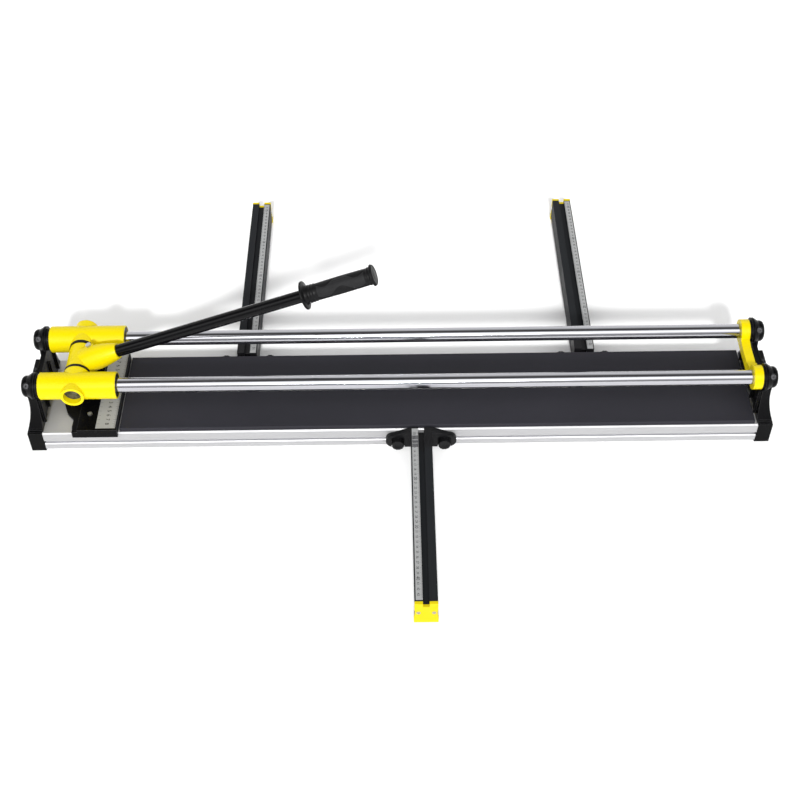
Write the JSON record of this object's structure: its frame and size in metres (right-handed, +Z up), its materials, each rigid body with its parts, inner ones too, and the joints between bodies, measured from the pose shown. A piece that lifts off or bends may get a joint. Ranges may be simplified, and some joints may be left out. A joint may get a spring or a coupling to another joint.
{
  "type": "manual tile cutter",
  "caption": "Manual rail tile cutter: lever carriage with scoring wheel and breaker slides on chromed rails over a padded base with side support arms.",
  "frame": {"origin": "on the ground under the middle of the base, on the middle anti-slip strip", "axes": "+X along the rails from the fence towards the stop plate, +Y towards the two back arms, +Z up"},
  "size_m": [1.27, 0.9863, 0.327],
  "materials": {
    "aluminium": "satin anodised",
    "pad_rubber": "matt ribbed",
    "steel": "brushed",
    "black_casting": "satin black powder coat on die-cast alloy",
    "chrome": "polished",
    "yellow_casting": "gloss yellow powder coat on die-cast alloy",
    "yellow_plastic": "gloss",
    "black_plastic": "satin moulded",
    "black_rubber": "matt",
    "zinc_screw": "zinc plated",
    "dark_screw": "blackened",
    "white_screw": "bright zinc",
    "ruler": "matt anodised with black graduations",
    "bronze": "plain bearing bronze",
    "black_tube": "gloss black paint",
    "black_profile": "black anodised",
    "hard_steel": "ground carbide and steel"
  },
  "bodies": {
    "base": {"base_profile": "aluminium", "pad_front": "pad_rubber", "pad_back": "pad_rubber", "breaking_rib": "steel", "underside_strips": "black_rubber", "end_support_left": "black_casting", "end_support_right": "black_casting", "rail_clamp_screws": "dark_screw", "lug_screws": "zinc_screw", "rail_front": "chrome", "rail_back": "chrome", "buffer_rings": "black_rubber", "stop_plate": "yellow_plastic", "fence_casting": "black_casting", "fence_screws": "zinc_screw", "fence_ruler": "ruler", "fence_bar": "black_profile"},
    "carriage": {"sleeve_front": "yellow_casting", "sleeve_back": "yellow_casting", "bushes": "bronze", "rail_seals": "black_rubber", "boss_plugs": "zinc_screw", "pivot_washers": "black_rubber", "pivot_axle": "steel"},
    "lever": {"lever_hub": "yellow_casting", "handle_bolt": "zinc_screw", "handle_tube": "black_tube", "handle_grip": "black_rubber", "wheel_holder": "black_casting", "wheel_axle": "steel", "breaker_pin": "steel"},
    "scoring_wheel": {"scoring_wheel": "hard_steel"},
    "breaker": {"breaker_foot": "black_casting", "breaker_soles": "black_rubber"},
    "arm_front": {"arm_front_profile": "black_profile", "arm_front_ruler": "ruler", "arm_front_cap": "yellow_plastic", "arm_front_screws": "white_screw", "arm_front_bracket": "black_plastic", "arm_front_nuts": "steel"},
    "knob_arm_front_1": {"knob_arm_front_1": "black_plastic"},
    "knob_arm_front_2": {"knob_arm_front_2": "black_plastic"},
    "arm_left": {"arm_left_profile": "black_profile", "arm_left_ruler": "ruler", "arm_left_cap": "yellow_plastic", "arm_left_screws": "white_screw", "arm_left_bracket": "black_plastic", "arm_left_nuts": "steel"},
    "knob_arm_left_1": {"knob_arm_left_1": "black_plastic"},
    "knob_arm_left_2": {"knob_arm_left_2": "black_plastic"},
    "arm_right": {"arm_right_profile": "black_profile", "arm_right_ruler": "ruler", "arm_right_cap": "yellow_plastic", "arm_right_screws": "white_screw", "arm_right_bracket": "black_plastic", "arm_right_nuts": "steel"},
    "knob_arm_right_1": {"knob_arm_right_1": "black_plastic"},
    "knob_arm_right_2": {"knob_arm_right_2": "black_plastic"}
  },
  "joints": [
    {"name": "carriage_slide", "type": "slide", "parent": "base", "child": "carriage", "axis": [1, 0, 0], "range_m": [0, 1.0625]},
    {"name": "handle_lift", "type": "hinge", "parent": "carriage", "child": "lever", "pos_m": [-0.5445, 0, 0.124], "axis": [0, -1, 0], "range_deg": [-8, 50]},
    {"name": "wheel_spin", "type": "hinge", "parent": "lever", "child": "scoring_wheel", "pos_m": [-0.5615, 0, 0.0693], "axis": [0, 1, 0], "continuous": true},
    {"name": "breaker_swing", "type": "hinge", "parent": "lever", "child": "breaker", "pos_m": [-0.5265, 0, 0.084], "axis": [0, -1, 0], "range_deg": [-12, 12]},
    {"name": "arm_front_slide", "type": "slide", "parent": "base", "child": "arm_front", "axis": [1, 0, 0], "range_m": [-0.455, 0.505]},
    {"name": "knob_arm_front_1_turn", "type": "hinge", "parent": "arm_front", "child": "knob_arm_front_1", "pos_m": [-0.0046, -0.1, 0.0202], "axis": [0, -1, 0], "continuous": true},
    {"name": "knob_arm_front_2_turn", "type": "hinge", "parent": "arm_front", "child": "knob_arm_front_2", "pos_m": [0.0746, -0.1, 0.0202], "axis": [0, -1, 0], "continuous": true},
    {"name": "arm_left_slide", "type": "slide", "parent": "base", "child": "arm_left", "axis": [1, 0, 0], "range_m": [-0.268, 0.236]},
    {"name": "knob_arm_left_1_turn", "type": "hinge", "parent": "arm_left", "child": "knob_arm_left_1", "pos_m": [-0.2344, 0.1, 0.0202], "axis": [0, 1, 0], "continuous": true},
    {"name": "knob_arm_left_2_turn", "type": "hinge", "parent": "arm_left", "child": "knob_arm_left_2", "pos_m": [-0.3136, 0.1, 0.0202], "axis": [0, 1, 0], "continuous": true},
    {"name": "arm_right_slide", "type": "slide", "parent": "base", "child": "arm_right", "axis": [1, 0, 0], "range_m": [-0.236, 0.208]},
    {"name": "knob_arm_right_1_turn", "type": "hinge", "parent": "arm_right", "child": "knob_arm_right_1", "pos_m": [0.3726, 0.1, 0.0202], "axis": [0, 1, 0], "continuous": true},
    {"name": "knob_arm_right_2_turn", "type": "hinge", "parent": "arm_right", "child": "knob_arm_right_2", "pos_m": [0.2934, 0.1, 0.0202], "axis": [0, 1, 0], "continuous": true}
  ]
}
